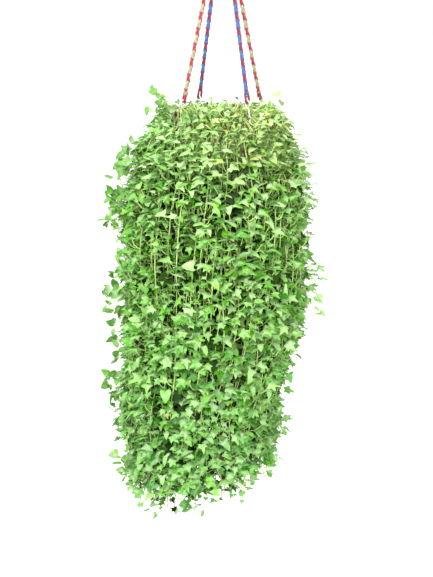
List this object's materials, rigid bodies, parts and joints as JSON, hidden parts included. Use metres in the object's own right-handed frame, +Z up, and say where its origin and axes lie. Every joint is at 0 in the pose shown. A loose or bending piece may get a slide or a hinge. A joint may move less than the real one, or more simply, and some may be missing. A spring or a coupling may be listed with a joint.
{
  "type": "hanging pot of trailing arrowhead vines",
  "caption": "Round plastic hanging pot of trailing arrowhead-leaved vines, slung on plaited ropes with wire hooks from a steel ring.",
  "frame": {"origin": "the point at the inner top of the steel ring, where a ceiling hook bears", "axes": "+Z up along the pot's axis; the front, where the longest vines hang, faces -Y; +X to the right seen from the front"},
  "size_m": [0.526, 0.4535, 1.463],
  "materials": {
    "galvanised_steel": "bright zinc-plated wire, lightly scuffed",
    "white_wire": "gloss white coating on steel wire",
    "red_olive_cord": "plaited cord, red and olive-beige strands",
    "red_blue_cord": "plaited cord, dark red and blue strands",
    "red_cord": "wrapped cord, dark red",
    "white_plastic": "injection-moulded white plastic, satin",
    "potting_soil": "moist bark and peat compost, rough",
    "vine_leaves": "fresh waxy leaves, lime to mid green, with pale veins and yellow-green stems"
  },
  "bodies": {
    "root": {"hanging_ring": "galvanised_steel", "top_loop": "red_blue_cord", "rope_binding": "red_cord", "rope_front_left": "red_olive_cord", "rope_front_right": "red_blue_cord", "rope_back_left": "red_blue_cord", "rope_back_right": "red_olive_cord", "wire_hook_front_left": "white_wire", "wire_hook_front_right": "white_wire", "wire_hook_back_left": "white_wire", "wire_hook_back_right": "white_wire", "pot": "white_plastic", "soil": "potting_soil", "vine_01": "vine_leaves", "vine_02": "vine_leaves", "vine_03": "vine_leaves", "vine_04": "vine_leaves", "vine_05": "vine_leaves", "vine_06": "vine_leaves", "vine_07": "vine_leaves", "vine_08": "vine_leaves", "vine_09": "vine_leaves", "vine_10": "vine_leaves", "vine_11": "vine_leaves", "vine_12": "vine_leaves", "vine_13": "vine_leaves", "vine_14": "vine_leaves", "vine_15": "vine_leaves", "vine_16": "vine_leaves", "vine_17": "vine_leaves", "vine_18": "vine_leaves", "vine_19": "vine_leaves", "vine_20": "vine_leaves", "vine_21": "vine_leaves", "vine_22": "vine_leaves", "vine_23": "vine_leaves", "vine_24": "vine_leaves", "crown_shoot_1": "vine_leaves", "crown_shoot_2": "vine_leaves", "crown_shoot_3": "vine_leaves", "crown_shoot_4": "vine_leaves", "crown_shoot_5": "vine_leaves", "crown_shoot_6": "vine_leaves"}
  },
  "joints": []
}
